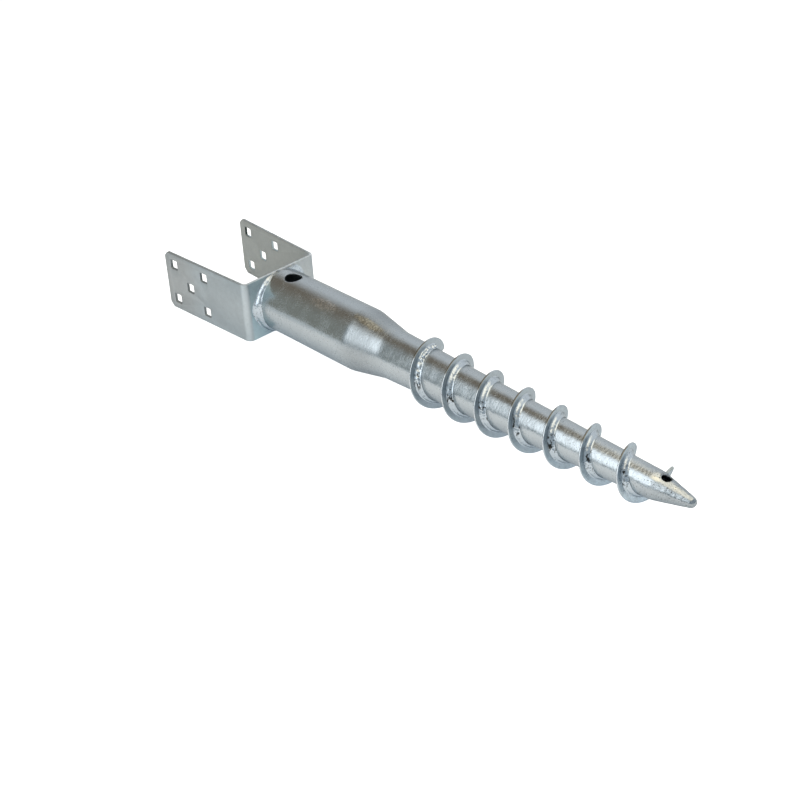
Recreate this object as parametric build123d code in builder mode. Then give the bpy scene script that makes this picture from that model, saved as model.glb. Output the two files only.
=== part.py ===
"""Helical pile for a timber post: a hot-dip galvanised ground screw with a U-shaped post bracket.

The origin is the centre of the post seat, the inner face of the bracket's web. +X runs along the
pile from the seat to the tip, the two cheeks of the bracket point to -X, and +Z is up as the pile
lies on its side. Millimetres and degrees.
"""

import os
from math import asin, atan, atan2, cos, degrees, hypot, pi, radians, sin, tan

from build123d import *

os.makedirs("parts", exist_ok=True)

# Post bracket: one strip of sheet, folded to a U, a little wider than the tube
post_gap = 91.0
sheet = 3.5
bracket_side_margin = 0.25
cheek_length = 130.0
cheek_splay = 2.5
bend_inside_radius = 3.5
corner_clip = 5.0

# Square holes for carriage bolts: a rectangle of four with one in its middle, in each cheek
bolt_square = 11.0
bolt_square_corner = 0.8
bolt_edge_distance = 14.5
bolt_row_spacing = 50.0
bolt_column_spacing = 42.0

# Pile tube: head cylinder, swaged neck, long taper and closed nose
tube_diameter = 68.0
tube_length = 556.0
tube_wall = 1.8
neck_start_from_head = 134.0
neck_end_from_head = 178.0
neck_depth = 8.2
neck_start_radius = 40.0
neck_end_radius = 55.0
nose_length = 42.0
nose_start_diameter = 28.2
nose_start_radius = 30.0
tip_radius = 5.4
tip_plug = 13.0
tip_bore_diameter = 6.0

# Holes in the tube
bar_hole_diameter = 19.0
bar_hole_from_head = 22.75
drain_hole_diameter = 10.0
drain_hole_from_tip = 33.2
drain_hole_angle = 7.0

# Helical flight: a flat strip wound on edge round the taper, right-handed
strip_height = 9.6
strip_thickness = 2.0
flight_pitch = 42.4
flight_from_head = 214.7
flight_from_tip = 43.2
flight_start_angle = -78.0
root_clearance = 0.05

# Weld beads
flight_bead_height = 2.9
flight_bead_reach = 5.0
flight_bead_bulge = 0.35
flight_bead_start_turns = 0.1
head_bead_leg = 4.4
head_bead_bulge = 0.5
head_bead_overhang = 1.2

# Places along the pile that several pieces share
tube_head = sheet
tube_tip = tube_head + tube_length
tube_radius = tube_diameter / 2
bracket_width = tube_diameter + 2 * bracket_side_margin
neck_start = tube_head + neck_start_from_head
taper_start = tube_head + neck_end_from_head
taper_start_radius = tube_radius - neck_depth
taper_end = tube_tip - nose_length
taper_end_radius = nose_start_diameter / 2
taper_slope = (taper_end_radius - taper_start_radius) / (taper_end - taper_start)
taper_angle = degrees(atan(taper_slope))
flight_turns = (tube_length - flight_from_head - flight_from_tip) / flight_pitch


def taper_radius(x):
    """Outside radius of the tube's long taper at the place x."""
    return taper_start_radius + taper_slope * (x - taper_start)


def cheek_plane(side):
    """Plane on the inner face of a cheek: x to the free end, y across, z out of the bracket."""
    to_free_end = Vector(-cos(radians(cheek_splay)), side * sin(radians(cheek_splay)), 0)
    outward = Vector(sin(radians(cheek_splay)), side * cos(radians(cheek_splay)), 0)
    return Plane(origin=(0, side * post_gap / 2, 0), x_dir=to_free_end, z_dir=outward)


# U bracket: the folded strip as a traced centre line
half_sheet = sheet / 2
mitre = half_sheet * tan(radians(90 - cheek_splay) / 2)
fold_corner = Vector(half_sheet, post_gap / 2 + mitre)
fold_end = fold_corner + Vector(-(cheek_length + mitre), 0).rotate(Axis.Z, -cheek_splay)
fold_points = [
    (fold_end.X, fold_end.Y),
    (fold_corner.X, fold_corner.Y),
    (fold_corner.X, -fold_corner.Y),
    (fold_end.X, -fold_end.Y),
]

with BuildPart() as u_bracket:
    with BuildSketch(Plane.XY) as fold_section:
        with BuildLine():
            FilletPolyline(*fold_points, radius=bend_inside_radius + half_sheet)
        trace(line_width=sheet)
    extrude(amount=bracket_width / 2, both=True)
    end_corners = u_bracket.edges().filter_by(
        lambda edge: abs(edge.length - sheet) < 0.001
    ).group_by(Axis.X)[0]
    chamfer(end_corners, length=corner_clip)
    for side in (-1, 1):
        with BuildSketch(cheek_plane(side)) as bolt_holes:
            middle = cheek_length - bolt_edge_distance - bolt_row_spacing / 2
            with Locations((middle, 0)):
                RectangleRounded(bolt_square, bolt_square, bolt_square_corner)
                with GridLocations(bolt_row_spacing, bolt_column_spacing, 2, 2):
                    RectangleRounded(bolt_square, bolt_square, bolt_square_corner)
        extrude(amount=2 * sheet, both=True, mode=Mode.SUBTRACT)
u_bracket.part.label = "u_bracket"
export_step(u_bracket.part, "parts/u_bracket.step")


# Pile tube: one tube, swaged down to the taper and hammered shut at the tip
tip_centre = tube_tip - tip_radius
nose_reach = tip_centre - taper_end
nose_angle = atan2(taper_end_radius, nose_reach) - asin(tip_radius / hypot(nose_reach, taper_end_radius))
nose_tangent = (tip_centre + tip_radius * sin(nose_angle), tip_radius * cos(nose_angle))
outside_points = [
    (tube_head, tube_radius),
    (neck_start, tube_radius),
    (taper_start, taper_start_radius),
    (taper_end, taper_end_radius),
    nose_tangent,
]
inside_points = [
    (tube_head, tube_radius - tube_wall),
    (neck_start, tube_radius - tube_wall),
    (taper_start, taper_start_radius - tube_wall),
    (taper_end, taper_end_radius - tube_wall),
    (tube_tip - tip_plug, tip_bore_diameter / 2),
    (tube_tip - tip_plug, 0),
]

with BuildPart() as pile_tube:
    with BuildSketch(Plane.XY) as tube_section:
        with BuildLine():
            FilletPolyline(
                *outside_points, radius=[neck_start_radius, neck_end_radius, nose_start_radius]
            )
            CenterArc((tip_centre, 0), tip_radius, 0, 90 - degrees(nose_angle))
            Line((tube_tip, 0), inside_points[-1])
            Polyline(*inside_points)
            Line(inside_points[0], outside_points[0])
        make_face()
    revolve(axis=Axis.X)
    with BuildSketch(Plane.XY) as bar_hole:
        with Locations((tube_head + bar_hole_from_head, 0)):
            Circle(bar_hole_diameter / 2)
    extrude(amount=tube_diameter, both=True, mode=Mode.SUBTRACT)
    with BuildSketch(Plane.XY.rotated((-drain_hole_angle, 0, 0))) as drain_hole:
        with Locations((tube_tip - drain_hole_from_tip, 0)):
            Circle(drain_hole_diameter / 2)
    extrude(amount=tube_diameter, mode=Mode.SUBTRACT)
pile_tube.part.label = "pile_tube"
export_step(pile_tube.part, "parts/pile_tube.step")


def taper_helix(first_turn, last_turn):
    """Stretch of the strip's root line on the taper, counted in turns from the flight's head end."""
    start = tube_head + flight_from_head + first_turn * flight_pitch
    helix = Helix(
        pitch=flight_pitch / cos(radians(taper_angle)),
        height=(last_turn - first_turn) * flight_pitch,
        radius=taper_radius(start),
        center=(start, 0, 0),
        direction=(1, 0, 0),
        cone_angle=taper_angle,
        mode=Mode.PRIVATE,
    )
    return helix.edge().rotate(Axis.X, flight_start_angle + 360 * first_turn)


def root_plane(helix):
    """Section plane at the start of a root line: x out from the tube, y towards the tip."""
    start = helix @ 0
    outward = Vector(0, start.Y, start.Z)
    return Plane(origin=start, x_dir=outward, z_dir=-(helix % 0))


# Helical flight: the strip's section swept along its root line
flight_root = taper_helix(0, flight_turns)

with BuildPart() as helical_flight:
    with BuildSketch(root_plane(flight_root)) as strip_section:
        with Locations((root_clearance + strip_height / 2, 0)):
            Rectangle(strip_height, strip_thickness)
    sweep(path=flight_root, is_frenet=True)
helical_flight.part.label = "helical_flight"
export_step(helical_flight.part, "parts/helical_flight.step")


# Flight weld: a fillet bead on the tip side of the strip
bead_root = taper_helix(flight_bead_start_turns, flight_turns)
bead_foot = (root_clearance, strip_thickness / 2)
bead_top = (root_clearance + flight_bead_height, strip_thickness / 2)
bead_toe = (
    root_clearance + taper_slope * flight_bead_reach,
    strip_thickness / 2 + flight_bead_reach,
)
bead_slant = hypot(flight_bead_height, flight_bead_reach)
bead_crown = (
    (bead_top[0] + bead_toe[0]) / 2 + flight_bead_bulge * flight_bead_reach / bead_slant,
    (bead_top[1] + bead_toe[1]) / 2 + flight_bead_bulge * flight_bead_height / bead_slant,
)

with BuildPart() as flight_weld:
    with BuildSketch(root_plane(bead_root)) as flight_bead_section:
        with BuildLine():
            Line(bead_toe, bead_foot)
            Line(bead_foot, bead_top)
            ThreePointArc(bead_top, bead_crown, bead_toe)
        make_face()
    sweep(path=bead_root, is_frenet=True)
flight_weld.part.label = "flight_weld"
export_step(flight_weld.part, "parts/flight_weld.step")


# Head weld: a fillet bead all round the tube's head end, trimmed where it spills over the web's edges
head_bead_foot = (tube_head, tube_radius)
head_bead_web_toe = (tube_head, tube_radius + head_bead_leg)
head_bead_tube_toe = (tube_head + head_bead_leg, tube_radius)
head_bead_lift = head_bead_leg / 2 + head_bead_bulge * sin(pi / 4)
head_bead_crown = (tube_head + head_bead_lift, tube_radius + head_bead_lift)

with BuildPart() as head_weld:
    with BuildSketch(Plane.XY) as head_bead_section:
        with BuildLine():
            Line(head_bead_foot, head_bead_web_toe)
            ThreePointArc(head_bead_web_toe, head_bead_crown, head_bead_tube_toe)
            Line(head_bead_tube_toe, head_bead_foot)
        make_face()
    revolve(axis=Axis.X)
    web_edge = bracket_width / 2 + head_bead_overhang
    split(bisect_by=Plane.XY.offset(web_edge), keep=Keep.BOTTOM)
    split(bisect_by=Plane.XY.offset(-web_edge), keep=Keep.TOP)
head_weld.part.label = "head_weld"
export_step(head_weld.part, "parts/head_weld.step")
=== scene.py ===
"""Helical pile: hot-dip galvanised ground screw with a U-shaped post bracket, dressed for its photograph.

Metres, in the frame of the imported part: the origin is the centre of the post seat, +X runs along the
pile to its tip, the bracket's cheeks point to -X, and +Z is up as the pile lies on its side.
Angles round the pile are measured from +Z towards -Y, the way the right-handed flight turns.
"""

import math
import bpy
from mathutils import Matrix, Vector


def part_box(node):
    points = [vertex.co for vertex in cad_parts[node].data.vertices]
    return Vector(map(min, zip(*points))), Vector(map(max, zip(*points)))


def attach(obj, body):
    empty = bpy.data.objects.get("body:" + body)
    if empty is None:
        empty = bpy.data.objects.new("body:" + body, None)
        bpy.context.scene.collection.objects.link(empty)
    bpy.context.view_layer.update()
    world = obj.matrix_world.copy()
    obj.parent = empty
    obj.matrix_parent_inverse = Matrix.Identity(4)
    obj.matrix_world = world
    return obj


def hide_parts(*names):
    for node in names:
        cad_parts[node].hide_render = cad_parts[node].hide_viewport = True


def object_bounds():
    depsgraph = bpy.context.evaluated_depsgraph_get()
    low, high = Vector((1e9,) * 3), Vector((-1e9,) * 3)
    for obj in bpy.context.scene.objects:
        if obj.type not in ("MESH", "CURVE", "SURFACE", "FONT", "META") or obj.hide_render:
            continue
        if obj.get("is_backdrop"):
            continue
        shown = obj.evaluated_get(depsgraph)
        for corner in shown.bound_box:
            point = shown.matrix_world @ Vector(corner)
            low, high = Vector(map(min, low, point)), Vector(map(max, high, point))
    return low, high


bl_info = {
    "name": "Helical Pile",
    "version": (1, 0, 0),
    "blender": (4, 5, 0),
    "location": "View3D > Sidebar > Helical Pile",
    "description": "Builds the galvanised looks of a helical pile round its packed CAD part",
    "category": "Object",
}

import bmesh
import bpy
import numpy as np
from bpy.props import FloatProperty, FloatVectorProperty, IntProperty, PointerProperty
from bpy.types import NodeSocket, Operator, Panel, PropertyGroup
from mathutils import Vector, noise

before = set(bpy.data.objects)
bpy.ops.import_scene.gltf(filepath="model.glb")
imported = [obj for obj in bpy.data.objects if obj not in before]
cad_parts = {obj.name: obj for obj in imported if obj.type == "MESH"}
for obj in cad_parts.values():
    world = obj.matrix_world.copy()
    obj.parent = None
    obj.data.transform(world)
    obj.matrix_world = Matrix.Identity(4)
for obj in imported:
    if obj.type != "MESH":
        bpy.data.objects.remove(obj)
bracket_low, bracket_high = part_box("u_bracket")
tube_low, tube_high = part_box("pile_tube")

MM = 0.001
BODY = "root"

# Distances within which two places count as one
TOUCHING = 0.001 * MM
NEARBY = 0.1 * MM

# Middle of the room that the zinc mirrors
ROOM_MIDDLE = (0.3, 0.0, 0.0)

# Length over which a bead runs out at its ends
END_OF_BEAD = 5 * MM

# Section of a bead, as shares of its reach along the tube and of its height on the plate
BEAD_PROFILE = (
    (1.10, -0.02), (0.94, 0.05), (0.84, 0.15), (0.76, 0.29), (0.66, 0.46), (0.54, 0.63),
    (0.39, 0.79), (0.23, 0.92), (0.09, 1.07), (0.00, 1.36),
)

# The same for the bead round the tube's head, which is flatter where it meets the web
HEAD_BEAD_PROFILE = (
    (1.15, -0.02), (0.98, 0.08), (0.87, 0.27), (0.71, 0.50), (0.53, 0.68), (0.35, 0.81),
    (0.19, 0.91), (0.09, 1.04), (0.02, 1.18), (-0.01, 1.34),
)

# Width of the head's bead on the web in millimetres, at angles in degrees round the pile
HEAD_BEAD_WIDTH = (
    (0, 2.4), (22, 2.8), (34, 3.9), (63, 4.3), (70, 5.0), (76, 6.3), (82, 7.7), (88, 8.3), (95, 7.8),
    (103, 6.5), (112, 5.2), (131, 4.3), (180, 4.0), (250, 4.6), (298, 3.6), (312, 5.8), (335, 6.2),
    (343, 3.0), (360, 2.4),
)

# Its reach along the tube, in the same way
HEAD_BEAD_REACH = (
    (0, 1.4), (20, 1.8), (32, 4.4), (47, 4.8), (62, 5.3), (74, 6.6), (89, 7.8), (113, 7.3), (130, 7.0),
    (180, 5.0), (260, 5.5), (298, 3.4), (315, 1.6), (335, 1.3), (360, 1.4),
)

# Marks on the tube's zinc, each as its middle and the stretch that makes it round: where the swaging heat
# has tinted it, where handling has scuffed it, and painted golden glints on the nose
HEAT_TINT = ((0.1555, -0.0088, 0.0297), (32.0, 200.0, 200.0))
SCUFF = ((0.092, -0.0140, 0.0310), (48.0, 130.0, 130.0))
PAINTED_NOSE_GLINTS = (
    ((0.5205, -0.0064, 0.0120), (170.0, 420.0, 420.0)),
    ((0.5435, -0.0036, 0.0106), (150.0, 330.0, 330.0)),
)

# Numbers that each zinc finish gives to the shared skin
SKIN_NUMBERS = (
    "Cloud Size", "Cloud Amount", "Grain Amount", "Roughness", "Roughness Spread", "Pits", "Mottle",
)
PIT_COLOUR = (0.05, 0.05, 0.045)


# Sizes and finishes that a user would change

def length(name, text, millimetres):
    return FloatProperty(
        name=name, description=text, default=millimetres * MM, unit="LENGTH", precision=5
    )


def angle(name, text, degrees):
    return FloatProperty(name=name, description=text, default=math.radians(degrees), subtype="ANGLE")


def share(name, text, default):
    return FloatProperty(name=name, description=text, default=default, min=0.0, max=1.0)


def colour(name, text, default):
    return FloatVectorProperty(
        name=name, description=text, default=default, size=3, subtype="COLOR", min=0.0, max=1.0
    )


def light(name, text, default):
    return FloatVectorProperty(name=name, description=text, default=default, size=3, min=0.0)


def spot(name, text, default):
    return FloatVectorProperty(name=name, description=text, default=default, size=3, subtype="XYZ")


class BracketSizes(PropertyGroup):
    post_gap: length("Post gap", "Clear width between the cheeks at the seat", 91)
    sheet: length("Sheet", "Thickness of the sheet", tube_low.x / MM)
    bend_radius: length("Bend radius", "Inside radius of the two bends", 3.5)
    splay: angle("Splay", "How far each cheek leans out", 2.5)
    corner_clip: length("Corner clip", "Length of the cut across each free corner", 5)
    clip_softness: length("Clip softness", "Rounding at the ends of the clipped corners", 1.2)
    edge_softness: length("Edge softness", "Rounding that the zinc gives to the sheared edges", 0.45)
    hole: length("Bolt hole", "Width of the square bolt holes", 11)
    hole_corner: length("Hole corner", "Corner radius of the square holes", 0.8)
    hole_from_end: length("Hole from end", "First holes' centre from the free end", 14.5)
    hole_row_spacing: length("Row spacing", "Hole spacing along the cheek", 50)
    hole_column_spacing: length("Column spacing", "Hole spacing across the cheek", 42)


class TubeSizes(PropertyGroup):
    wall: length("Wall", "Wall thickness of the tube", 1.8)
    neck_start: length("Neck start", "Start of the swaged neck, from the head", 134)
    neck_end: length("Neck end", "End of the swaged neck, from the head", 178)
    neck_depth: length("Neck depth", "How far the neck draws the wall in", 8.2)
    neck_start_radius: length("Neck start radius", "Rounding where the neck starts", 40)
    neck_end_radius: length("Neck end radius", "Rounding where the neck ends", 55)
    nose_length: length("Nose length", "Length of the hammered nose", 42)
    nose_start_radius: length("Nose start radius", "Outside radius where the nose starts", 14.1)
    nose_rounding: length("Nose rounding", "Rounding where the nose starts", 30)
    tip_radius: length("Tip radius", "Radius of the blunt tip", 5.4)
    bar_hole: length("Turning-bar hole", "Diameter of the hole through both walls", 19)
    bar_hole_from_head: length("Bar hole from head", "Hole's centre from the head", 22.75)
    drain_hole: length("Drain hole", "Diameter of the hole near the tip", 10)
    drain_hole_from_tip: length("Drain hole from tip", "Hole's centre from the tip", 33.2)
    drain_hole_angle: angle("Drain hole angle", "Turn of the drain hole away from the top", -7)
    rim_softness: length("Rim softness", "Rounding that the zinc gives to the holes' rims", 0.5)
    facets: IntProperty(name="Facets", description="Facets round the tube", default=160, min=24)


class FlightSizes(PropertyGroup):
    height: length("Height", "Height of the strip on the tube", 9.6)
    thickness: length("Thickness", "Thickness of the strip", 2)
    pitch: length("Pitch", "Advance in one turn", 42.4)
    from_head: length("From head", "Start of the flight from the head", 214.7)
    from_tip: length("From tip", "End of the flight from the tip", 43.2)
    start_angle: angle("Start angle", "Where the flight starts round the tube", -78)
    start_softness: length("Start softness", "Rounding of the strip's corner at its head end", 3.2)
    tail_softness: length("Tail softness", "Rounding of the strip's corner at its tip end", 0.8)
    tail_drip: length("Tail drip", "Stretch over which the zinc thickens the strip's tip end", 9)
    facets: IntProperty(name="Facets", description="Facets in one turn", default=96, min=24)


class WeldSizes(PropertyGroup):
    flight_height: length("Flight bead height", "Bead's height on the strip", 2.9)
    flight_reach: length("Flight bead reach", "Bead's reach along the tube", 5.0)
    flight_start: angle("Flight bead start", "Bead's start after the strip's end", 36)
    ripple: length("Ripple", "Depth of the ripples in a bead", 0.10)
    ripple_pitch: length("Ripple pitch", "Distance from ripple to ripple", 2.4)
    blob: length("Blob", "Height of the blobs where the flight's bead starts", 2.5)
    blob_pitch: length("Blob pitch", "Distance from blob to blob", 5.2)


class ZincFinish(PropertyGroup):
    sheet: colour("Sheet", "Zinc on the bracket", (0.545, 0.585, 0.60))
    punched: colour("Punched wall", "Zinc on the walls of the bolt holes", (0.39, 0.41, 0.41))
    sheared: colour("Sheared edge", "Zinc on the bracket's cut edges", (0.60, 0.63, 0.635))
    tube: colour("Tube", "Zinc on the tube", (0.60, 0.635, 0.655))
    # The heat tint's colour also paints the golden glints on the nose
    gilt: colour("Heat tint", "Zinc where the swaging heat has coloured it", (0.84, 0.82, 0.72))
    scuffed: colour("Scuffed", "Zinc where handling has scuffed it", (0.95, 0.97, 0.98))
    strip: colour("Strip", "Zinc on the flight", (0.52, 0.575, 0.61))
    # Lighter zinc: on the flight's rim partly a painted highlight for its bright edge line, round the holes
    # the holes' own zinc
    rim: colour("Rim", "Zinc on the flight's outer rim and round the tube's holes", (0.74, 0.77, 0.79))
    bead: colour("Bead", "Zinc on the welds", (0.67, 0.725, 0.77))
    bore: colour("Bore", "Dull zinc inside the tube", (0.40, 0.45, 0.48))
    sheet_roughness: share("Sheet roughness", "Roughness of the bracket", 0.42)
    tube_roughness: share("Tube roughness", "Roughness of the tube", 0.22)
    strip_roughness: share("Strip roughness", "Roughness of the flight", 0.3)
    bead_roughness: share("Bead roughness", "Roughness of the welds", 0.2)
    edge_tint: share("Edge tint", "How bright the zinc mirrors at a grazing angle", 0.7)


class StudioSettings(PropertyGroup):
    camera_place: spot("Camera", "Where the camera stands", (1.23688, -0.93272, 0.83858))
    camera_turn: FloatVectorProperty(
        name="Camera turn", description="Which way the camera looks", size=3, subtype="EULER",
        default=(math.radians(57.5779), math.radians(2.9762), math.radians(46.5734)),
    )
    lens: FloatProperty(name="Lens", description="Focal length in millimetres", default=73.098)
    room_near: colour("Room overhead", "Dim room over the pile", (0.20, 0.175, 0.14))
    room_far: colour("Room in front", "Dim room on the camera's side", (0.250, 0.262, 0.235))
    room_side: colour("Room beside the pile", "Cooler dim room on the camera's side", (0.300, 0.345, 0.365))
    room_past_tip: colour("Room past the tip", "Dim room beyond the tip", (0.34, 0.39, 0.43))
    wall: colour("Wall", "Pale wall behind the pile", (0.65, 0.69, 0.72))
    softbox: light("Softbox", "Wide soft light at the camera's left", (1.70, 1.81, 1.88))
    ceiling: light("Ceiling", "Lit ceiling over the tip", (1.40, 1.32, 1.13))
    dome_radius: length("Dome radius", "Distance of the room from the pile", 1400)
    floor_glow: share("Floor glow", "Light that the white table gives from below", 0.36)
    floor_white: share("Floor white", "How much of the light on the table it gives back", 0.7)


def sizes(group):
    return getattr(bpy.context.scene, group)


# Working with objects

def deselect():
    bpy.ops.object.select_all(action="DESELECT")


def only(obj):
    """Makes obj the only selected object, and the active one."""
    deselect()
    obj.select_set(True)
    bpy.context.view_layer.objects.active = obj


def added(name):
    """Names the primitive that was just added, and puts its place into its mesh."""
    obj = bpy.context.object
    obj.name = name
    obj.data.name = name
    only(obj)
    bpy.ops.object.transform_apply(location=True, rotation=True, scale=True)
    return obj


def editing(obj, kind="VERT", select="DESELECT"):
    only(obj)
    bpy.ops.object.mode_set(mode="EDIT")
    bpy.ops.mesh.select_mode(type=kind)
    bpy.ops.mesh.select_all(action=select)
    return bmesh.from_edit_mesh(obj.data)


def done():
    bpy.ops.object.mode_set(mode="OBJECT")


def pick(obj, kind, test):
    """Selects the vertices or the edges whose middle passes the test."""
    shape = editing(obj, kind)
    for element in shape.verts if kind == "VERT" else shape.edges:
        middle = element.co if kind == "VERT" else (element.verts[0].co + element.verts[1].co) / 2
        element.select_set(bool(test(middle)))
    shape.select_flush_mode()
    bmesh.update_edit_mesh(obj.data)


def modify(obj, kind, **values):
    """Adds a modifier, sets it and applies it."""
    only(obj)
    modifier = obj.modifiers.new(kind.lower(), kind)
    for key, value in values.items():
        setattr(modifier, key, value)
    bpy.ops.object.modifier_apply(modifier=modifier.name)


def cut(obj, cutter):
    modify(obj, "BOOLEAN", operation="DIFFERENCE", solver="EXACT", object=cutter)
    bpy.data.objects.remove(cutter)


def smooth(obj, degrees):
    only(obj)
    bpy.ops.object.shade_smooth_by_angle(angle=math.radians(degrees))


def outward(obj):
    """Merges doubles and turns all faces outwards."""
    editing(obj, select="SELECT")
    bpy.ops.mesh.remove_doubles(threshold=TOUCHING)
    bpy.ops.mesh.normals_make_consistent(inside=False)
    done()


def points(obj):
    places = np.empty(len(obj.data.vertices) * 3)
    obj.data.vertices.foreach_get("co", places)
    return places.reshape(-1, 3)


def set_points(obj, places):
    obj.data.vertices.foreach_set("co", places.astype(np.float32).ravel())
    obj.data.update()


def give_skins(obj, *skins, index=None):
    """Gives a mesh its materials and, with an index, puts all its faces on that one."""
    for skin in skins:
        obj.data.materials.append(skin.material)
    if index is not None:
        obj.data.polygons.foreach_set("material_index", [index] * len(obj.data.polygons))


def finish_piece(obj, node):
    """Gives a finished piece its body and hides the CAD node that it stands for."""
    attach(obj, BODY)
    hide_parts(node)


# The tube's outline, which the flight and the welds sit on

def rounded_corner(before, corner, after, radius, steps):
    """Points on the arc that rounds a corner of a flat line."""
    a = (Vector(before) - Vector(corner)).normalized()
    b = (Vector(after) - Vector(corner)).normalized()
    half = a.angle(b) / 2
    centre = Vector(corner) + (a + b).normalized() * (radius / math.sin(half))
    tangent = radius / math.tan(half)
    start = Vector(corner) + a * tangent - centre
    end = Vector(corner) + b * tangent - centre
    first = math.atan2(start.y, start.x)
    swing = (math.atan2(end.y, end.x) - first + math.pi) % math.tau - math.pi
    turns = [first + swing * i / steps for i in range(steps + 1)]
    return [centre + Vector((math.cos(turn), math.sin(turn))) * radius for turn in turns]


def tube_outline():
    """Stations (x, radius) along the outside of the tube, from its head to its tip."""
    tube = sizes("pile_tube_sizes")
    head, tip, radius = tube_low.x, tube_high.x, tube_high.y
    neck = (head + tube.neck_start, radius)
    taper = (head + tube.neck_end, radius - tube.neck_depth)
    nose = (tip - tube.nose_length, tube.nose_start_radius)
    centre = tip - tube.tip_radius
    reach = centre - nose[0]
    lean = math.atan2(nose[1], reach) - math.asin(tube.tip_radius / math.hypot(reach, nose[1]))
    shoulder = (centre + tube.tip_radius * math.sin(lean), tube.tip_radius * math.cos(lean))
    line = [Vector((head, radius))]
    line += rounded_corner((head, radius), neck, taper, tube.neck_start_radius, 8)
    line += rounded_corner(neck, taper, nose, tube.neck_end_radius, 8)
    line += rounded_corner(taper, nose, shoulder, tube.nose_rounding, 6)
    for i in range(9):
        turn = (math.pi / 2 - lean) * (1 - i / 9)
        line.append(Vector((centre + tube.tip_radius * math.cos(turn), tube.tip_radius * math.sin(turn))))
    return line


def spaced(line, step_at):
    """The same line with more stations, so that none are further apart than step_at(x)."""
    fine = [line[0]]
    for a, b in zip(line, line[1:]):
        count = max(1, math.ceil((b.x - a.x) / step_at(a.x)))
        fine += [a.lerp(b, i / count) for i in range(1, count + 1)]
    return fine


def taper_radius(x):
    """Outside radius of the long taper."""
    tube = sizes("pile_tube_sizes")
    start = tube_low.x + tube.neck_end
    end = tube_high.x - tube.nose_length
    start_radius = tube_high.y - tube.neck_depth
    return start_radius + (tube.nose_start_radius - start_radius) * (x - start) / (end - start)


def round_place(x, radius, turn):
    """Point at an angle round the pile, from +Z towards -Y."""
    return Vector((x, -radius * math.sin(turn), radius * math.cos(turn)))


def swell(place, scale, seed=0.0):
    """Smooth noise from about -1 to 1, at features of the given size."""
    drift = Vector((seed, 1.7 * seed, -seed))
    return noise.noise(Vector(place) / scale + drift, noise_basis="PERLIN_ORIGINAL")


# Materials, and the skin that the zinc finishes share

class Nodes:
    """The nodes of a material, a group or a world, with short ways of adding to them."""

    def __init__(self, tree):
        self.tree = tree

    def new(self, kind, **settings):
        node = self.tree.nodes.new("ShaderNode" + kind)
        for key, value in settings.items():
            setattr(node, key, value)
        return node

    def feed(self, node, inputs):
        """Links a node's inputs, or sets them to a number, a vector or a colour."""
        for key, value in inputs.items():
            socket = node.inputs[key]
            if isinstance(value, NodeSocket):
                self.tree.links.new(value, socket)
            elif socket.type == "RGBA":
                socket.default_value = (*value[:3], 1.0)
            else:
                socket.default_value = value
        return node

    def math(self, operation, *values, clamp=False):
        node = self.new("Math", operation=operation, use_clamp=clamp)
        return self.feed(node, dict(enumerate(values))).outputs[0]

    def scaled(self, value, by, plus=0.0, clamp=False):
        """A value times another, plus a third."""
        return self.math("MULTIPLY_ADD", value, by, plus, clamp=clamp)

    def vector(self, operation, *values):
        node = self.new("VectorMath", operation=operation)
        self.feed(node, dict(enumerate(values)))
        return node.outputs["Value" if operation == "LENGTH" else "Vector"]

    def mix(self, factor, a, b, blend="MIX"):
        node = self.new("Mix", data_type="RGBA", blend_type=blend)
        return self.feed(node, {0: factor, 6: a, 7: b}).outputs[2]

    def noise(self, vector, scale, detail=2.0, rough=0.5):
        inputs = {"Vector": vector, "Scale": scale, "Detail": detail, "Roughness": rough}
        return self.feed(self.new("TexNoise"), inputs).outputs["Fac"]

    def ramp(self, value, low, high):
        """Smooth step of a value from low to high, as a number from 0 to 1."""
        node = self.new("MapRange", interpolation_type="SMOOTHSTEP")
        return self.feed(node, {"Value": value, "From Min": low, "From Max": high}).outputs["Result"]

    def within(self, *steps):
        """Mask where all of some smooth steps hold, each given as (value, low, high)."""
        mask = self.ramp(*steps[0])
        for step in steps[1:]:
            mask = self.scaled(mask, self.ramp(*step))
        return mask

    def place(self):
        """The place on the piece, in Object coordinates."""
        return self.new("TexCoord").outputs["Object"]

    def axes(self, vector):
        """The x, y and z of a vector."""
        return self.feed(self.new("SeparateXYZ"), {0: vector}).outputs


class Material(Nodes):
    """A new material and its shader."""

    def __init__(self, name):
        self.material = bpy.data.materials.new(name)
        self.material.use_nodes = True
        super().__init__(self.material.node_tree)
        self.shader = self.tree.nodes["Principled BSDF"]


class Zinc(Material):
    """A zinc finish: the shared skin and, where a tool has drawn the metal, streaks."""

    def __init__(self, name, zinc, roughness, spread=0.2, cloud_size=6 * MM, cloud=0.3, grain=0.3,
                 pits=0.6, relief=0.08 * MM, streaks=None):
        super().__init__(name)
        place = self.place()
        self.skin = self.new("Group", node_tree=bpy.data.node_groups["zinc skin"])
        numbers = (cloud_size, cloud, grain, roughness, spread, pits, 1.0)
        self.feed(self.skin, {"Vector": place, "Zinc": zinc, **dict(zip(SKIN_NUMBERS, numbers))})
        rough = self.skin.outputs["Roughness"]
        height = self.skin.outputs["Height"]
        if streaks is not None:
            fine = self.noise(self.vector("MULTIPLY", place, streaks), 1.0, 3.0, 0.6)
            height = self.scaled(fine, 0.5, height)
            rough = self.scaled(self.math("SUBTRACT", fine, 0.5), 0.28, rough, clamp=True)
        bump = self.feed(self.new("Bump"), {"Strength": 1.0, "Distance": relief, "Height": height})
        edge = sizes("pile_zinc").edge_tint
        self.feed(self.shader, {
            "Base Color": self.skin.outputs["Color"], "Metallic": 1.0, "Specular Tint": (edge, edge, edge),
            "Roughness": rough, "Normal": bump.outputs["Normal"],
        })

    def tone(self, *tones):
        """Tones the skin's colour. Each tone is (mask, shade), and covers the one before it."""
        shade = (1.0, 1.0, 1.0)
        for mask, tint in tones:
            shade = self.mix(mask, shade, tint)
        self.feed(self.shader, {"Base Color": self.mix(1.0, self.skin.outputs["Color"], shade, "MULTIPLY")})


def dimmed(zinc, share_left):
    return [channel * share_left for channel in zinc]


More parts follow.
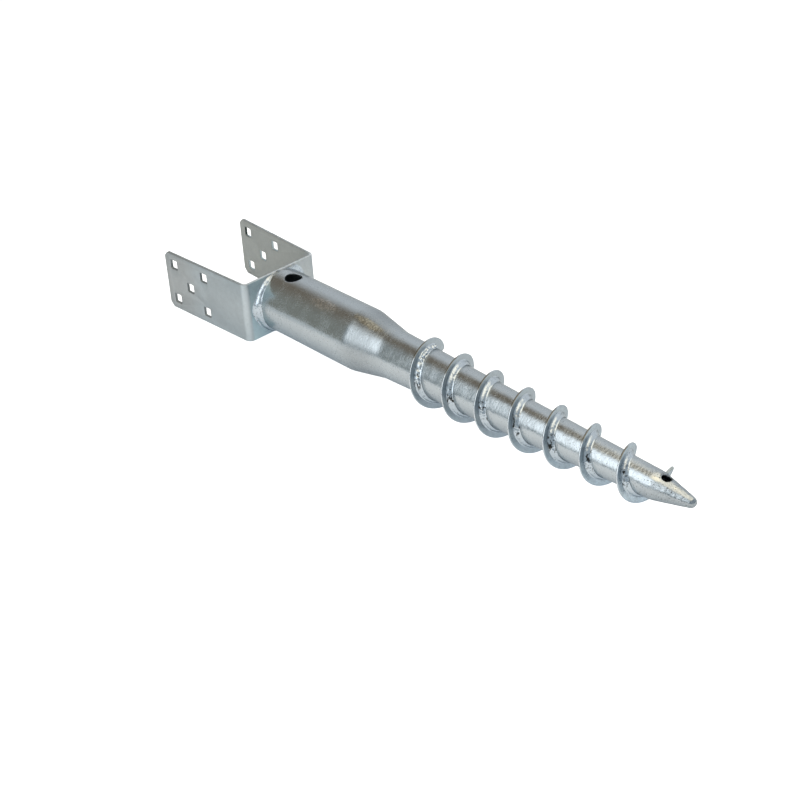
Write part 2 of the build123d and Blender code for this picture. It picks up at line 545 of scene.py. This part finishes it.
def zinc_skin():
    """Node group: cloudy patches, fine grain and small dark pits of hot-dip zinc."""
    tree = bpy.data.node_groups.new("zinc skin", "ShaderNodeTree")
    inputs = {"Vector": "Vector", "Zinc": "Color", **dict.fromkeys(SKIN_NUMBERS, "Float")}
    outputs = {"Color": "Color", "Roughness": "Float", "Height": "Float"}
    for way, sockets in (("INPUT", inputs), ("OUTPUT", outputs)):
        for name, kind in sockets.items():
            tree.interface.new_socket(name=name, in_out=way, socket_type="NodeSocket" + kind)
    nodes = Nodes(tree)
    given = tree.nodes.new("NodeGroupInput").outputs
    vector = given["Vector"]
    cloud = nodes.noise(vector, nodes.math("DIVIDE", 1.0, given["Cloud Size"]), 4.0, 0.6)
    grain = nodes.noise(vector, 900.0, 3.0, 0.65)
    cloud_off = nodes.math("SUBTRACT", cloud, 0.5)
    grain_off = nodes.math("SUBTRACT", grain, 0.5)
    grainy = nodes.scaled(grain_off, given["Grain Amount"], 1.0)
    shade = nodes.scaled(cloud_off, given["Cloud Amount"], grainy)
    pitted = nodes.ramp(nodes.noise(vector, 700.0, 1.5), 0.65, 0.73)
    pit = nodes.scaled(pitted, given["Pits"], clamp=True)
    uneven = nodes.math("ADD", cloud_off, grain_off)
    mottle = nodes.scaled(nodes.noise(vector, 300.0, 2.5, 0.55), given["Mottle"])
    waves = nodes.scaled(cloud, 0.7, mottle)
    height = nodes.scaled(grain, 0.25, waves)
    nodes.feed(tree.nodes.new("NodeGroupOutput"), {
        "Color": nodes.mix(pit, nodes.vector("MULTIPLY", given["Zinc"], shade), PIT_COLOUR),
        "Roughness": nodes.scaled(uneven, given["Roughness Spread"], given["Roughness"], clamp=True),
        "Height": nodes.math("SUBTRACT", height, pit),
    })


# The post bracket

def sheet_tones(sheet):
    """Painted warm shade on the inner face of the cheek at +Y, darker and warmer zinc at the other cheek's
    free end, a painted highlight on the bends, a painted bluish reflection on the web's -Y half, and the
    web lighter and warmer on its +Y half.
    """
    x, y, _ = sheet.axes(sheet.place())
    # Painted shade, darker and warmer, on the inner face of the cheek at +Y, between the cheeks
    painted_shade_cheek = sheet.within((y, 0.038, 0.048), (x, 0.002, -0.012))
    # Darker and warmer at the free end of the cheek at -Y
    darker_end = sheet.within((x, -0.065, -0.105), (y, -0.038, -0.043))
    # Painted highlight on the two bends
    bends = sheet.within((sheet.math("ABSOLUTE", y), 0.0435, 0.0475), (x, -0.0045, -0.0005))
    # Painted bluish reflection, lighter, on the web's -Y half
    painted_reflection_web = sheet.within((y, -0.010, -0.030), (x, -0.002, 0.001), (y, -0.045, -0.041))
    warm_web = sheet.within((y, 0.015, 0.030), (x, -0.002, 0.001), (y, 0.045, 0.041))
    sheet.tone(
        (painted_shade_cheek, (0.99, 0.925, 0.85)), (darker_end, (0.965, 0.925, 0.90)), (bends, (1.22, 1.22, 1.22)),
        (painted_reflection_web, (1.12, 1.24, 1.25)), (warm_web, (1.16, 1.12, 1.09)),
    )


def painted_web_edge_highlight(sheared):
    """A painted highlight on the web's cut edges next to the weld, brighter than the cheeks' edges."""
    along = sheared.axes(sheared.place())["X"]
    # Painted highlight on the web's cut edges
    sheared.tone((sheared.ramp(along, -0.006, 0.0), (1.49, 1.49, 1.49)))


def hole_wall_tones(punched):
    """Painted light, brighter and cooler, on the hole walls of the cheek at +Y, and painted shade on one of
    those walls.
    """
    x, y, z = punched.axes(punched.place())
    # Painted light, brighter and cooler, on the hole walls of the cheek at +Y
    beyond = punched.ramp(y, 0.02, 0.04)
    # Painted shade on one wall of a hole in the cheek at +Y
    painted_shade_wall = punched.within((x, -0.1175, -0.1195), (z, 0.014, 0.017), (y, 0.02, 0.04))
    punched.tone((beyond, (1.55, 1.66, 1.70)), (painted_shade_wall, (0.16, 0.19, 0.18)))


def punch(size, side, cheek, skins):
    """Five square punches, set square to one cheek."""
    middle = cheek - size.hole_from_end - size.hole_row_spacing / 2
    spots = [(middle, 0.0)]
    spots += [(middle + row * size.hole_row_spacing, column * size.hole_column_spacing)
              for row in (-0.5, 0.5) for column in (-0.5, 0.5)]
    punches = []
    for along, up in spots:
        deselect()
        bpy.ops.mesh.primitive_cube_add(size=size.hole)
        one = added("punch")
        pick(one, "EDGE", lambda middle: abs(middle.y) < TOUCHING)
        bpy.ops.mesh.bevel(offset=size.hole_corner, segments=3)
        done()
        one.location = (-along, 0, up)
        punches.append(one)
    for one in punches:
        one.select_set(True)
    bpy.context.view_layer.objects.active = punches[0]
    bpy.ops.object.join()
    tool = added("punches")
    tool.rotation_euler.z = -side * size.splay
    tool.location.y = side * size.post_gap / 2
    tool = added("punches")
    give_skins(tool, *skins, index=1)
    return tool


class PILE_OT_bracket(Operator):
    """Folds the U bracket from a strip of sheet and punches its square bolt holes"""

    bl_idname = "pile.bracket"
    bl_label = "Post Bracket"

    def execute(self, context):
        size = context.scene.pile_bracket_sizes
        finish = context.scene.pile_zinc
        half_width = bracket_high.z
        clip_plane = -bracket_low.x
        turn = math.pi / 2 - size.splay
        bend_tangent = size.bend_radius * math.tan(turn / 2)
        flat_end = size.post_gap / 2 - bend_tangent
        cheek = clip_plane / math.cos(size.splay)
        straight = cheek - bend_tangent
        deselect()
        bpy.ops.mesh.primitive_plane_add(size=2, rotation=(0, math.pi / 2, 0))
        context.object.scale = (half_width, flat_end, 1)
        plate = added("post_bracket")
        for side in (-1, 1):
            pick(plate, "EDGE", lambda middle: (middle - Vector((0, side * flat_end, 0))).length < TOUCHING)
            bpy.ops.mesh.spin(
                steps=12, angle=-side * turn, axis=(0, 0, 1),
                center=(-size.bend_radius, side * flat_end, 0), use_auto_merge=False,
            )
            bpy.ops.mesh.extrude_region_move(TRANSFORM_OT_translate={"value": (
                -straight * math.cos(size.splay), side * straight * math.sin(size.splay), 0)})
            done()
        outward(plate)
        clip_foot = half_width - size.corner_clip
        for side in (-1, 1):
            editing(plate, select="SELECT")
            bpy.ops.mesh.bisect(
                plane_co=(-clip_plane, 0, side * clip_foot), plane_no=(-1, 0, side), clear_outer=True)
            done()
        clip_corners = ((clip_plane, clip_foot), (clip_plane - size.corner_clip, half_width))
        pick(plate, "VERT", lambda place: any(
            math.hypot(-place.x - x, abs(place.z) - z) < NEARBY for x, z in clip_corners))
        bpy.ops.mesh.bevel(affect="VERTICES", offset=size.clip_softness, segments=3)
        done()
        sheet = Zinc("galvanised sheet", finish.sheet, finish.sheet_roughness,
                     spread=0.15, grain=0.2, pits=0.1)
        punched = Zinc("punched wall", finish.punched, 0.45, cloud=0.7)
        sheared = Zinc("sheared edge", finish.sheared, 0.42,
                       cloud_size=3 * MM, cloud=1.2, grain=0.5, pits=1.0)
        sheet_tones(sheet)
        hole_wall_tones(punched)
        painted_web_edge_highlight(sheared)
        skins = (sheet, punched, sheared)
        give_skins(plate, *skins)
        modify(plate, "SOLIDIFY", thickness=size.sheet, offset=1.0, use_even_offset=True,
               material_offset_rim=2)
        for side in (-1, 1):
            cut(plate, punch(size, side, cheek, skins))
        modify(plate, "BEVEL", width=size.edge_softness, segments=2, limit_method="ANGLE",
               angle_limit=math.radians(40), material=0)
        smooth(plate, 30)
        finish_piece(plate, "u_bracket")
        return {"FINISHED"}


# The tube

def turned_tube(stations, facets):
    """Extrudes the outline from one point and spins it round the pile's axis."""
    deselect()
    bpy.ops.mesh.primitive_plane_add(size=1 * MM, location=(*stations[0], 0))
    tube = added("pile_shaft")
    editing(tube, select="SELECT")
    bpy.ops.mesh.merge(type="CENTER")
    for before, after in zip(stations, [*stations[1:], Vector((tube_high.x, 0))]):
        bpy.ops.mesh.extrude_vertices_move(TRANSFORM_OT_translate={"value": (*(after - before), 0)})
    bpy.ops.mesh.select_all(action="SELECT")
    bpy.ops.mesh.spin(steps=facets, angle=math.tau, center=(0, 0, 0), axis=(1, 0, 0))
    done()
    return tube


def tube_step(x):
    """Distance from station to station: fine where the metal was worked."""
    plain_end = 0.13
    fine_start = tube_high.x - 0.06
    if x > fine_start:
        return 1.0 * MM
    return 4.0 * MM if x < plain_end else 2.5 * MM


def work_surface(tube):
    """Gives the drawn wall its slight waves, and the hammered nose its dents."""
    swaging_start, hammering_start, fade = 0.12, 0.49, 0.05
    places = points(tube)
    for i, place in enumerate(places):
        x, y, z = place
        radius = math.hypot(y, z)
        if radius < NEARBY:
            continue
        worked = min(1.0, max(0.0, (x - swaging_start) / fade))
        nose = min(1.0, max(0.0, (x - hammering_start) / fade))
        rise = 0.07 * MM * (1 + worked) * swell((x * 0.6, y, z), 0.022)
        rise += 0.08 * MM * worked * swell(place, 0.008, 3.0)
        rise -= 0.20 * MM * nose * max(0.0, swell(place, 0.0045, 7.0) - 0.05)
        rise += 0.10 * MM * nose * swell(place, 0.0026, 13.0)
        places[i, 1:] *= 1 + rise / radius
    set_points(tube, places)


def worked_finish(drawn, finish):
    """More mottles, pits and roughness towards the hammered tip, the marks on the zinc, and painted golden
    glints on the nose.
    """
    place = drawn.place()
    along = drawn.axes(place)["X"]
    to_tip = drawn.ramp(along, 0.25, 0.56)
    nose = drawn.ramp(along, 0.49, 0.54)
    neck = drawn.within((along, 0.125, 0.150), (along, 0.195, 0.160))
    smoother_nose = drawn.scaled(nose, -0.04, finish.tube_roughness)
    rising_mottle = drawn.scaled(to_tip, 1.0, 0.8)
    duller_neck = drawn.mix(neck, finish.tube, dimmed(finish.tube, 0.79))
    drawn.feed(drawn.skin, {
        "Roughness": drawn.scaled(neck, 0.05, smoother_nose),
        "Grain Amount": drawn.scaled(nose, 1.0, 0.15),
        "Mottle": drawn.scaled(nose, 1.1, rising_mottle),
        "Pits": drawn.scaled(nose, 1.3, 0.4),
        "Zinc": drawn.mix(nose, duller_neck, dimmed(finish.tube, 0.82)),
    })
    ragged = drawn.noise(place, 260.0, 3.0, 0.6)
    crystals = drawn.ramp(drawn.noise(place, 520.0, 2.0, 0.6), 0.38, 0.62)

    def patch(middle, reach):
        """Mask of a ragged patch round a place on the tube."""
        off = drawn.vector("MULTIPLY", drawn.vector("SUBTRACT", place, middle), reach)
        edge = drawn.scaled(ragged, 1.2, drawn.vector("LENGTH", off))
        return drawn.ramp(edge, 1.75, 1.25)

    scuff = drawn.scaled(patch(*SCUFF), crystals)
    toned = drawn.mix(scuff, drawn.skin.outputs["Color"], finish.scuffed)
    gilt = drawn.mix(crystals, dimmed(finish.gilt, 0.55), dimmed(finish.gilt, 0.9))
    toned = drawn.mix(patch(*HEAT_TINT), toned, gilt)
    # Painted golden glints on the nose, in the heat tint's colour
    for glint in PAINTED_NOSE_GLINTS:
        toned = drawn.mix(drawn.scaled(0.6, patch(*glint)), toned, finish.gilt)
    drawn.feed(drawn.shader, {"Base Color": toned})


def drill(diameter, x, turn, lift, skins):
    """A drill across the tube, turned about its axis and lifted along its own."""
    deselect()
    bpy.ops.mesh.primitive_cylinder_add(
        vertices=64, radius=diameter / 2, depth=2 * tube_high.y + 20 * MM,
        location=round_place(x, lift, turn), rotation=(turn, 0, 0))
    drill = added("drill")
    give_skins(drill, *skins, index=2)
    return drill


class PILE_OT_tube(Operator):
    """Draws the tube, swages its neck, hammers its nose and drills its holes"""

    bl_idname = "pile.tube"
    bl_label = "Pile Tube"

    def execute(self, context):
        size = context.scene.pile_tube_sizes
        finish = context.scene.pile_zinc
        tube = turned_tube(spaced(tube_outline(), tube_step), size.facets)
        outward(tube)
        work_surface(tube)
        drawn = Zinc("galvanised tube", finish.tube, finish.tube_roughness, spread=0.35, cloud_size=16 * MM,
                     cloud=0.16, grain=0.15, pits=0.35, relief=0.11 * MM, streaks=(520.0, 130.0, 130.0))
        worked_finish(drawn, finish)
        bore = Zinc("bore", finish.bore, 0.6, spread=0.1, cloud_size=10 * MM, grain=0.2, pits=0.0,
                    relief=0.1 * MM)
        rim = Zinc("hole rim", finish.rim, 0.5, pits=0.4, relief=0.1 * MM)
        skins = (drawn, bore, rim)
        give_skins(tube, *skins)
        modify(tube, "SOLIDIFY", thickness=size.wall, offset=-1.0, material_offset=1)
        bar_hole = tube_low.x + size.bar_hole_from_head
        drain_hole = tube_high.x - size.drain_hole_from_tip
        cut(tube, drill(size.bar_hole, bar_hole, 0, 0, skins))
        cut(tube, drill(size.drain_hole, drain_hole, size.drain_hole_angle, tube_high.y, skins))
        modify(tube, "BEVEL", width=size.rim_softness, segments=2, limit_method="ANGLE",
               angle_limit=math.radians(50), use_clamp_overlap=False)
        smooth(tube, 35)
        finish_piece(tube, "pile_tube")
        return {"FINISHED"}


# The flight and its weld

def marks_along(turns, facets, fine):
    """Shares of a coil's length where its rings stand, closer together over the share fine at each end."""
    even = max(2, round(turns * facets))
    near = [fine * (1 - math.cos(math.pi / 2 * i / 8)) for i in range(8)]
    middle = [fine + (1 - 2 * fine) * i / even for i in range(even + 1)]
    return near + middle + [1 - mark for mark in reversed(near)]


def flight_turns():
    """Turns of the strip from its head end to its tip end."""
    flight = sizes("pile_flight_sizes")
    return (tube_high.x - tube_low.x - flight.from_head - flight.from_tip) / flight.pitch


def wound(name, section, start, turns, marks, first_turn):
    """Winds a closed section of (along x, out from the root) round a core, and fits it to the taper."""
    advance = turns * sizes("pile_flight_sizes").pitch
    core = 50 * MM
    deselect()
    bpy.ops.mesh.primitive_circle_add(vertices=len(section), radius=core, fill_type="NOTHING")
    coil = added(name)
    set_points(coil, np.array([(along, 0.0, core + out) for along, out in section]))
    modify(coil, "SCREW", axis="X", angle=turns * math.tau, screw_offset=advance,
           steps=len(marks) - 1, render_steps=len(marks) - 1, use_merge_vertices=False,
           use_smooth_shade=True)
    rings = points(coil).reshape(-1, len(section), 3)
    for along, ring in zip(marks, rings):
        x = start + along * advance
        out = taper_radius(x) + np.hypot(ring[:, 1], ring[:, 2]) - core
        turn = first_turn + along * turns * math.tau
        ring[:, 0] = x + np.array([place for place, _ in section])
        ring[:, 1] = -out * math.sin(turn)
        ring[:, 2] = out * math.cos(turn)
    return coil, rings


def runs(rings):
    """Length of a coil's root line from its start to each ring."""
    steps = np.linalg.norm(np.diff(rings[:, 0], axis=0), axis=1)
    return np.concatenate(([0.0], np.cumsum(steps)))


def ripple(ran, body, pitch):
    """Height, from -0.5 to 0.5, of the ripples that the welder's arc leaves across a bead."""
    return abs(math.sin(math.pi * ran / pitch - 1.2 * body)) - 0.5


def closed(coil, rings):
    set_points(coil, rings)
    editing(coil, "EDGE")
    bpy.ops.mesh.select_non_manifold()
    bpy.ops.mesh.fill_holes(sides=0)
    done()
    outward(coil)


def rim_tone(rim):
    """Painted shade, darker and browner, on the rim's upper side."""
    _, y, z = rim.axes(rim.place())
    upper = rim.within((rim.math("ADD", y, z), 0.002, 0.008), (y, 0.006, -0.002))
    # Painted shade on the rim's upper side
    rim.tone((upper, (0.38, 0.35, 0.30)))


def strip_tone(strip):
    """The strip is brighter and blotchier towards the tip."""
    to_tip = strip.ramp(strip.axes(strip.place())["X"], 0.30, 0.50)
    strip.feed(strip.skin, {
        "Grain Amount": strip.scaled(to_tip, 0.75, 0.15),
        "Cloud Amount": strip.scaled(to_tip, 0.5, 0.3),
    })
    strip.tone((to_tip, (1.18, 1.21, 1.23)))


class PILE_OT_flight(Operator):
    """Winds the strip of the flight on edge round the taper"""

    bl_idname = "pile.flight"
    bl_label = "Helical Flight"

    def execute(self, context):
        size = context.scene.pile_flight_sizes
        finish = context.scene.pile_zinc
        half = size.thickness / 2
        soft = 0.5 * MM
        corner = 0.3 * soft
        clearance = 0.05 * MM
        face = [(half, clearance + (size.height - soft) * i / 6) for i in range(7)]
        face += [(half - corner, size.height - corner), (half - soft, size.height)]
        section = face + [(-along, out) for along, out in reversed(face)]
        turns = flight_turns()
        marks = marks_along(turns, size.facets, 0.0045)
        coil, rings = wound("helical_strip", section, tube_low.x + size.from_head, turns, marks,
                            size.start_angle)
        run = runs(rings)
        for ring, ran in zip(rings, run):
            left = run[-1] - ran
            soft_end = size.tail_softness if ran > left else size.start_softness
            short = max(0.0, soft_end - min(ran, left))
            lost = soft_end - math.sqrt(soft_end ** 2 - short ** 2)
            radii = np.hypot(ring[:, 1], ring[:, 2])
            root = radii.min()
            ring[:, 1:] *= ((root + (radii - root) * (1 - lost / size.height)) / radii)[:, None]
            middle = ring.mean(axis=0)
            drip = max(0.0, 1 - left / size.tail_drip)
            ring[:, 0] += (ring[:, 0] - middle[0]) * 0.4 * drip
            lean = 0.25 * MM * swell(middle, 0.03, 2.0) + 1.1 * MM * drip
            dip = 0.12 * MM * swell(middle, 0.012, 5.0)
            out = (radii - root) / size.height
            ring[:, 0] += lean * out ** 2
            ring[:, 1:] *= (1 + dip * out / np.hypot(ring[:, 1], ring[:, 2]))[:, None]
        closed(coil, rings)
        smooth(coil, 50)
        for face in coil.data.polygons:
            out = math.hypot(face.center.y, face.center.z) - taper_radius(face.center.x)
            face.material_index = 1 if out > size.height - 0.4 * soft else 0
        strip = Zinc("galvanised strip", finish.strip, finish.strip_roughness,
                     spread=0.15, grain=0.15, pits=0.3, relief=0.12 * MM)
        # Lighter rim zinc, partly a painted highlight along the rim's edge
        rim = Zinc("galvanised rim", finish.rim, 0.24)
        strip_tone(strip)
        rim_tone(rim)
        give_skins(coil, strip, rim)
        finish_piece(coil, "helical_flight")
        return {"FINISHED"}


def bead_flecks_and_puddle(bead):
    """Dark flecks in a band on the -Y side of every turn of the flight's bead, and a dull puddle on top of
    the head's bead."""
    place = bead.place()
    x, y, z = bead.axes(place)
    speckle = bead.noise(bead.vector("MULTIPLY", place, (380.0, 380.0, 150.0)), 1.0, 2.0, 0.6)
    flecks = bead.within((speckle, 0.53, 0.60), (x, 0.15, 0.20), (y, -0.006, -0.012),
                         (z, 0.018, 0.010), (z, -0.007, 0.0))
    puddle = bead.within((z, 0.0305, 0.0335), (x, 0.05, 0.03))
    flecked = bead.mix(flecks, bead.skin.outputs["Color"], PIT_COLOUR)
    bead.feed(bead.shader, {"Base Color": bead.mix(puddle, flecked, (0.44, 0.46, 0.47))})


def blob(ran, part, pitch):
    """Height, from 0 to about 1, of a row of round blobs of uneven size and place."""
    number = math.floor(ran / pitch)
    best = 0.0
    for i in (number - 1, number, number + 1):
        middle = (i + 0.5 + 0.35 * math.sin(7.1 * i)) * pitch
        radius = pitch * (0.54 + 0.14 * math.sin(3.7 * i + 1))
        across = 0.55 + 0.14 * math.sin(4.3 * i)
        reach = 1 - ((ran - middle) / radius) ** 2 - ((part - across) / 0.42) ** 2
        if reach > 0:
            best = max(best, math.sqrt(reach) * (0.9 + 0.25 * math.sin(5.3 * i)))
    return best


class PILE_OT_flight_weld(Operator):
    """Lays the fillet bead along the tip side of the flight"""

    bl_idname = "pile.flight_weld"
    bl_label = "Flight Weld"

    def execute(self, context):
        size = context.scene.pile_weld_sizes
        flight = context.scene.pile_flight_sizes
        finish = context.scene.pile_zinc
        face = flight.thickness / 2
        buried = 0.4 * MM
        section = [(face - buried, -buried)]
        section += [(face + size.flight_reach * along, size.flight_height * up)
                    for along, up in BEAD_PROFILE]
        skip = size.flight_start / math.tau
        turns = flight_turns() - skip
        start = tube_low.x + flight.from_head + skip * flight.pitch
        first_turn = flight.start_angle + size.flight_start
        facets = 240
        blobs_end, blobs_fade = 100, 25
        marks = marks_along(turns, facets, 0.004)
        coil, rings = wound("flight_bead", section, start, turns, marks, first_turn)
        run = runs(rings)
        for along, ring, ran in zip(marks, rings, run):
            turn = math.degrees(first_turn) + along * turns * 360
            blobby = min(1.0, max(0.0, (blobs_end - turn) / blobs_fade))
            near_end = min(ran, run[-1] - ran) / END_OF_BEAD
            taper = math.sqrt(max(0.02, 1 - (1 - min(1.0, near_end)) ** 2))
            root = ring[0].copy()
            restless = (1 - blobby) * (0.5 + 0.5 * max(0.0, math.sin(math.radians(turn + 10))) ** 8)
            for k in range(1, len(section)):
                part = (k - 1) / (len(BEAD_PROFILE) - 1)
                body = math.sin(math.pi * part) ** 1.5
                across = part * 4 * MM
                rise = size.ripple * ripple(ran, body, size.ripple_pitch)
                rise += 0.40 * MM * swell((ran, 0, 0), 0.018, 4.0)
                rise += 0.60 * MM * restless * swell((ran, across, 0), 0.0045, 11.0)
                rise += 0.28 * MM * restless * swell((ran, across, 0), 0.002, 9.0)
                rise += blobby * (blob(ran, part, size.blob_pitch) * size.blob - 1.3 * MM)
                rise += blobby * 0.25 * MM * swell((ran, across, 0), 0.003, 9.0)
                away = ring[k] - root
                distance = float(np.linalg.norm(away))
                ring[k] = root + away * taper * (1 + rise * body / distance)
        closed(coil, rings)
        smooth(coil, 60)
        bead = Zinc("galvanised bead", finish.bead, finish.bead_roughness,
                    cloud_size=4 * MM, grain=0.15, relief=0.3 * MM)
        bead_flecks_and_puddle(bead)
        give_skins(coil, bead)
        finish_piece(coil, "flight_weld")
        return {"FINISHED"}


def by_angle(turn, table):
    """A value between the rows of a table of (angle, value), at a turn round the pile."""
    return float(np.interp(math.degrees(turn), *zip(*table)))


class PILE_OT_head_weld(Operator):
    """Lays the fillet bead round the tube's head on the web"""

    bl_idname = "pile.head_weld"
    bl_label = "Head Weld"

    def execute(self, context):
        size = context.scene.pile_weld_sizes
        web = tube_low.x
        radius = tube_high.y
        buried = 0.4 * MM
        web_edge = bracket_high.z - 0.1 * MM
        spill = 0.15
        peak, peak_place, peak_reach = 0.9 * MM, -2.5 * MM, 3 * MM
        facets = 240
        rows = len(HEAD_BEAD_PROFILE) + 1
        deselect()
        bpy.ops.mesh.primitive_torus_add(
            major_segments=facets, minor_segments=rows, major_radius=radius,
            minor_radius=2 * MM, location=(web, 0, 0), rotation=(0, math.pi / 2, 0))
        bead = added("head_bead")
        rings = points(bead).reshape(facets, rows, 3)
        for step, ring in enumerate(rings):
            turn = math.tau * step / facets
            run = turn * radius
            wide = by_angle(turn, HEAD_BEAD_WIDTH) * 0.72 * MM
            long = by_angle(turn, HEAD_BEAD_REACH) * 0.86 * MM
            places = [(web - buried, radius - buried)]
            for k, (along, up) in enumerate(HEAD_BEAD_PROFILE):
                part = k / (len(HEAD_BEAD_PROFILE) - 1)
                body = math.sin(math.pi * part)
                lump = size.ripple * ripple(run, body, size.ripple_pitch)
                lump += 0.45 * MM * swell((run, part * 3 * MM, 0), 0.007, 21.0)
                lump += 0.25 * MM * swell((run, part * 4 * MM, 0), 0.0025, 23.0)
                lift = lump * body / math.sqrt(2)
                places.append((web + long * along + lift, radius + wide * up + lift))
            for k, (x, out) in enumerate(places):
                place = round_place(x, out, turn)
                if abs(place.z) > web_edge:
                    place.z = math.copysign(web_edge + spill * (abs(place.z) - web_edge), place.z)
                    if place.z > 0:
                        place.z += peak * max(0.0, 1 - ((place.y - peak_place) / peak_reach) ** 2)
                ring[k] = place
        set_points(bead, rings)
        outward(bead)
        smooth(bead, 70)
        bead.data.materials.append(bpy.data.materials["galvanised bead"])
        finish_piece(bead, "head_weld")
        return {"FINISHED"}


# The stage

def table_white(studio):
    """White table: it looks pure white, and lights the pile more softly than that, with painted bluish
    shadows in its glow under, beside and beyond the pile.
    """
    table = Material("table white")
    x, y, _ = table.axes(table.place())
    # Painted shadows, bluish, in the table's glow: beyond the pile at +Y, under it and beside its head
    beyond = table.scaled(table.ramp(y, 0.05, 0.15), 0.55)
    under = table.scaled(table.ramp(x, 0.125, 0.085), 0.35, 0.45)
    under = table.scaled(under, table.ramp(table.math("ABSOLUTE", y), 0.11, 0.0))
    beside = table.scaled(table.within((x, -0.02, -0.09), (y, -0.11, -0.20)), 0.9)
    shadow = table.math("MAXIMUM", beyond, table.math("MAXIMUM", under, beside))
    glow = table.mix(shadow, (0.97, 1.0, 1.03), (0.30, 0.42, 0.52))
    seen = table.new("LightPath").outputs["Is Camera Ray"]
    white = studio.floor_white
    table.feed(table.shader, {
        "Base Color": (white, white, white), "Roughness": 1.0, "Specular IOR Level": 0.0,
        "Emission Color": table.mix(seen, glow, (1.0, 1.0, 1.0)),
        "Emission Strength": table.scaled(seen, 1.0 - studio.floor_glow, studio.floor_glow),
    })
    table.material.cycles.emission_sampling = "NONE"
    return table


def room_dome(studio):
    """The room as the zinc mirrors it, on a dome that the camera looks through: a pale wall
    behind, a dim room, a lit ceiling over the tip and one wide soft light."""
    deselect()
    bpy.ops.mesh.primitive_uv_sphere_add(
        segments=24, ring_count=12, radius=studio.dome_radius, location=ROOM_MIDDLE)
    dome = added("room")
    dome.visible_camera = False
    dome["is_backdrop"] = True
    room = Material("room")
    room.tree.nodes.remove(room.shader)
    shine = room.new("Emission")
    x, y, z = room.axes(room.vector("NORMALIZE", room.vector("SUBTRACT", room.place(), ROOM_MIDDLE)))
    ceiling = room.within((x, -0.37, -0.23), (z, 0.55, 0.95), (x, 0.62, 0.42), (y, -0.60, -0.28))
    softbox = room.within((x, -0.575, -0.39), (x, 0.40, -0.16), (y, -0.1, -0.45),
                          (z, -0.03, 0.37), (z, 0.97, 0.72))
    front = room.mix(room.ramp(x, -0.70, -0.58), studio.room_far, studio.room_side)
    mirrored = room.mix(room.ramp(y, 0.0, -0.6), studio.room_near, front)
    wall_edge = room.scaled(room.ramp(x, -0.74, -0.60), -0.075, y)
    wall_edge = room.scaled(room.ramp(x, -0.50, -0.40), 0.04, wall_edge)
    for mask, shade in ((room.ramp(wall_edge, 0.045, 0.51), studio.wall),
                        (room.ramp(x, 0.42, 0.62), studio.room_past_tip),
                        (ceiling, studio.ceiling), (softbox, studio.softbox)):
        mirrored = room.mix(mask, mirrored, shade)
    room.feed(shine, {"Color": mirrored})
    room.feed(room.tree.nodes["Material Output"], {"Surface": shine.outputs[0]})
    room.material.cycles.emission_sampling = "NONE"
    give_skins(dome, room)


def white_beyond(scene):
    """Plain white behind everything, where the camera looks past the table."""
    world = bpy.data.worlds.new("white")
    scene.world = world
    world.use_nodes = True
    nodes = Nodes(world.node_tree)
    seen = nodes.new("LightPath").outputs["Is Camera Ray"]
    nodes.feed(nodes.tree.nodes["Background"], {"Color": seen})


class PILE_OT_studio(Operator):
    """Sets the white table, the soft light, the surroundings and the camera"""

    bl_idname = "pile.studio"
    bl_label = "Studio"

    def execute(self, context):
        studio = context.scene.pile_studio
        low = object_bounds()[0]
        under_pile = (0.2, 0, low.z - 0.3 * MM)
        deselect()
        bpy.ops.mesh.primitive_circle_add(vertices=96, radius=9.0, fill_type="NGON", location=under_pile)
        floor = added("table")
        give_skins(floor, table_white(studio))
        floor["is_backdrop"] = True
        room_dome(studio)
        white_beyond(context.scene)
        camera = bpy.data.cameras.new("camera")
        camera.lens = studio.lens
        camera.clip_start = 0.05
        camera.clip_end = 60.0
        stand = bpy.data.objects.new("camera", camera)
        context.scene.collection.objects.link(stand)
        stand.location = studio.camera_place
        stand.rotation_euler = studio.camera_turn
        context.scene.camera = stand
        context.scene.view_settings.view_transform = "Standard"
        return {"FINISHED"}


# The panel, and running it all

STEPS = ("pile.bracket", "pile.tube", "pile.flight", "pile.flight_weld", "pile.head_weld", "pile.studio")
GROUPS = {
    "pile_bracket_sizes": BracketSizes,
    "pile_tube_sizes": TubeSizes,
    "pile_flight_sizes": FlightSizes,
    "pile_weld_sizes": WeldSizes,
    "pile_zinc": ZincFinish,
    "pile_studio": StudioSettings,
}


class PILE_PT_panel(Panel):
    """Lists the pile's pieces and their sizes"""

    bl_idname = "PILE_PT_panel"
    bl_label = "Helical Pile"
    bl_space_type = "VIEW_3D"
    bl_region_type = "UI"
    bl_category = "Helical Pile"

    def draw(self, context):
        for step in STEPS:
            self.layout.operator(step)
        for group, kind in GROUPS.items():
            box = self.layout.box()
            for key in kind.__annotations__:
                box.prop(getattr(context.scene, group), key)


CLASSES = (
    *GROUPS.values(), PILE_OT_bracket, PILE_OT_tube, PILE_OT_flight, PILE_OT_flight_weld,
    PILE_OT_head_weld, PILE_OT_studio, PILE_PT_panel,
)


def register():
    for kind in CLASSES:
        bpy.utils.register_class(kind)
    for group, kind in GROUPS.items():
        setattr(bpy.types.Scene, group, PointerProperty(type=kind))


def unregister():
    for group in GROUPS:
        delattr(bpy.types.Scene, group)
    for kind in reversed(CLASSES):
        bpy.utils.unregister_class(kind)


def main():
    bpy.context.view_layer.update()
    register()
    zinc_skin()
    for step in STEPS:
        getattr(bpy.ops.pile, step.removeprefix("pile."))()


if __name__ == "__main__":
    main()
